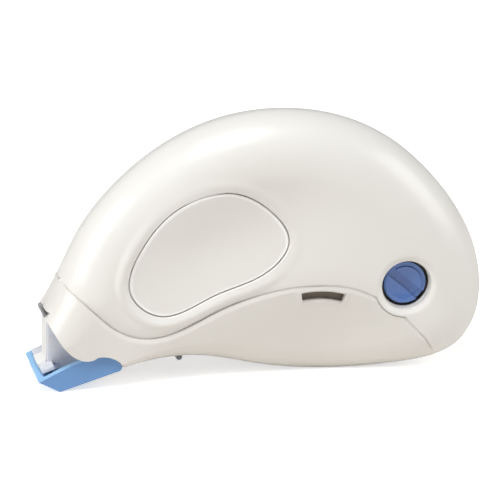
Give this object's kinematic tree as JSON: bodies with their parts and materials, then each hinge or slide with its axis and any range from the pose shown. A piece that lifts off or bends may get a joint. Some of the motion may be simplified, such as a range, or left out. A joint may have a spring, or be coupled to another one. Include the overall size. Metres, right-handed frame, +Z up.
{
  "type": "correction tape roller",
  "caption": "Handheld correction tape roller with a curved two-tone casing, flip-down tip cap, geared tape reels and a slotted tension knob.",
  "frame": {"origin": "on the floor that the roller stands on, under the middle of its bounding box", "axes": "+X from the applicator to the heel, +Z up, +Y through the thickness away from the side with the tension knob"},
  "size_m": [0.0878, 0.019, 0.0519],
  "materials": {
    "casing": "glossy moulded warm white plastic",
    "frame": "grey moulded plastic",
    "applicator": "milky translucent moulded plastic",
    "tape": "white coated film",
    "cap_blue": "satin blue moulded plastic",
    "knob_blue": "glossy blue moulded plastic",
    "reel": "dark recycled plastic",
    "clear_flange": "clear plastic",
    "gear": "natural acetal"
  },
  "bodies": {
    "case": {"front_upper_case": "casing", "front_lower_case": "casing", "back_upper_case": "casing", "back_lower_case": "casing", "front_grip_pad": "casing", "back_grip_pad": "casing", "chassis_plate": "frame", "supply_clip": "frame", "assembly_pins": "casing", "applicator_tip": "applicator", "tape_run": "tape"},
    "cap": {"tip_cap": "cap_blue"},
    "supply": {"supply_spool": "reel", "supply_front_flange": "clear_flange", "supply_tape_pack": "tape", "supply_gear": "gear"},
    "take_up_drive": {"take_up_gear": "gear", "slip_clutch": "gear"},
    "take_up": {"take_up_spool": "reel", "take_up_tape_pack": "tape", "tension_knob": "knob_blue"}
  },
  "joints": [
    {"name": "cap_hinge", "type": "hinge", "parent": "case", "child": "cap", "pos_m": [-0.02835, 0, 0.00433], "axis": [0, -1, 0], "range_deg": [0, 150]},
    {"name": "supply_spin", "type": "hinge", "parent": "case", "child": "supply", "pos_m": [0.0023, 0, 0.02845], "axis": [0, -1, 0], "continuous": true},
    {"name": "take_up_drive_spin", "type": "hinge", "parent": "case", "child": "take_up_drive", "pos_m": [0.0278, 0, 0.01815], "axis": [0, -1, 0], "continuous": true},
    {"name": "tension_slip", "type": "hinge", "parent": "take_up_drive", "child": "take_up", "pos_m": [0.0278, 0, 0.01815], "axis": [0, -1, 0], "continuous": true}
  ],
  "couplings": [
    {"joint": "take_up_drive_spin", "follows": "supply_spin", "ratio": -1.619}
  ]
}
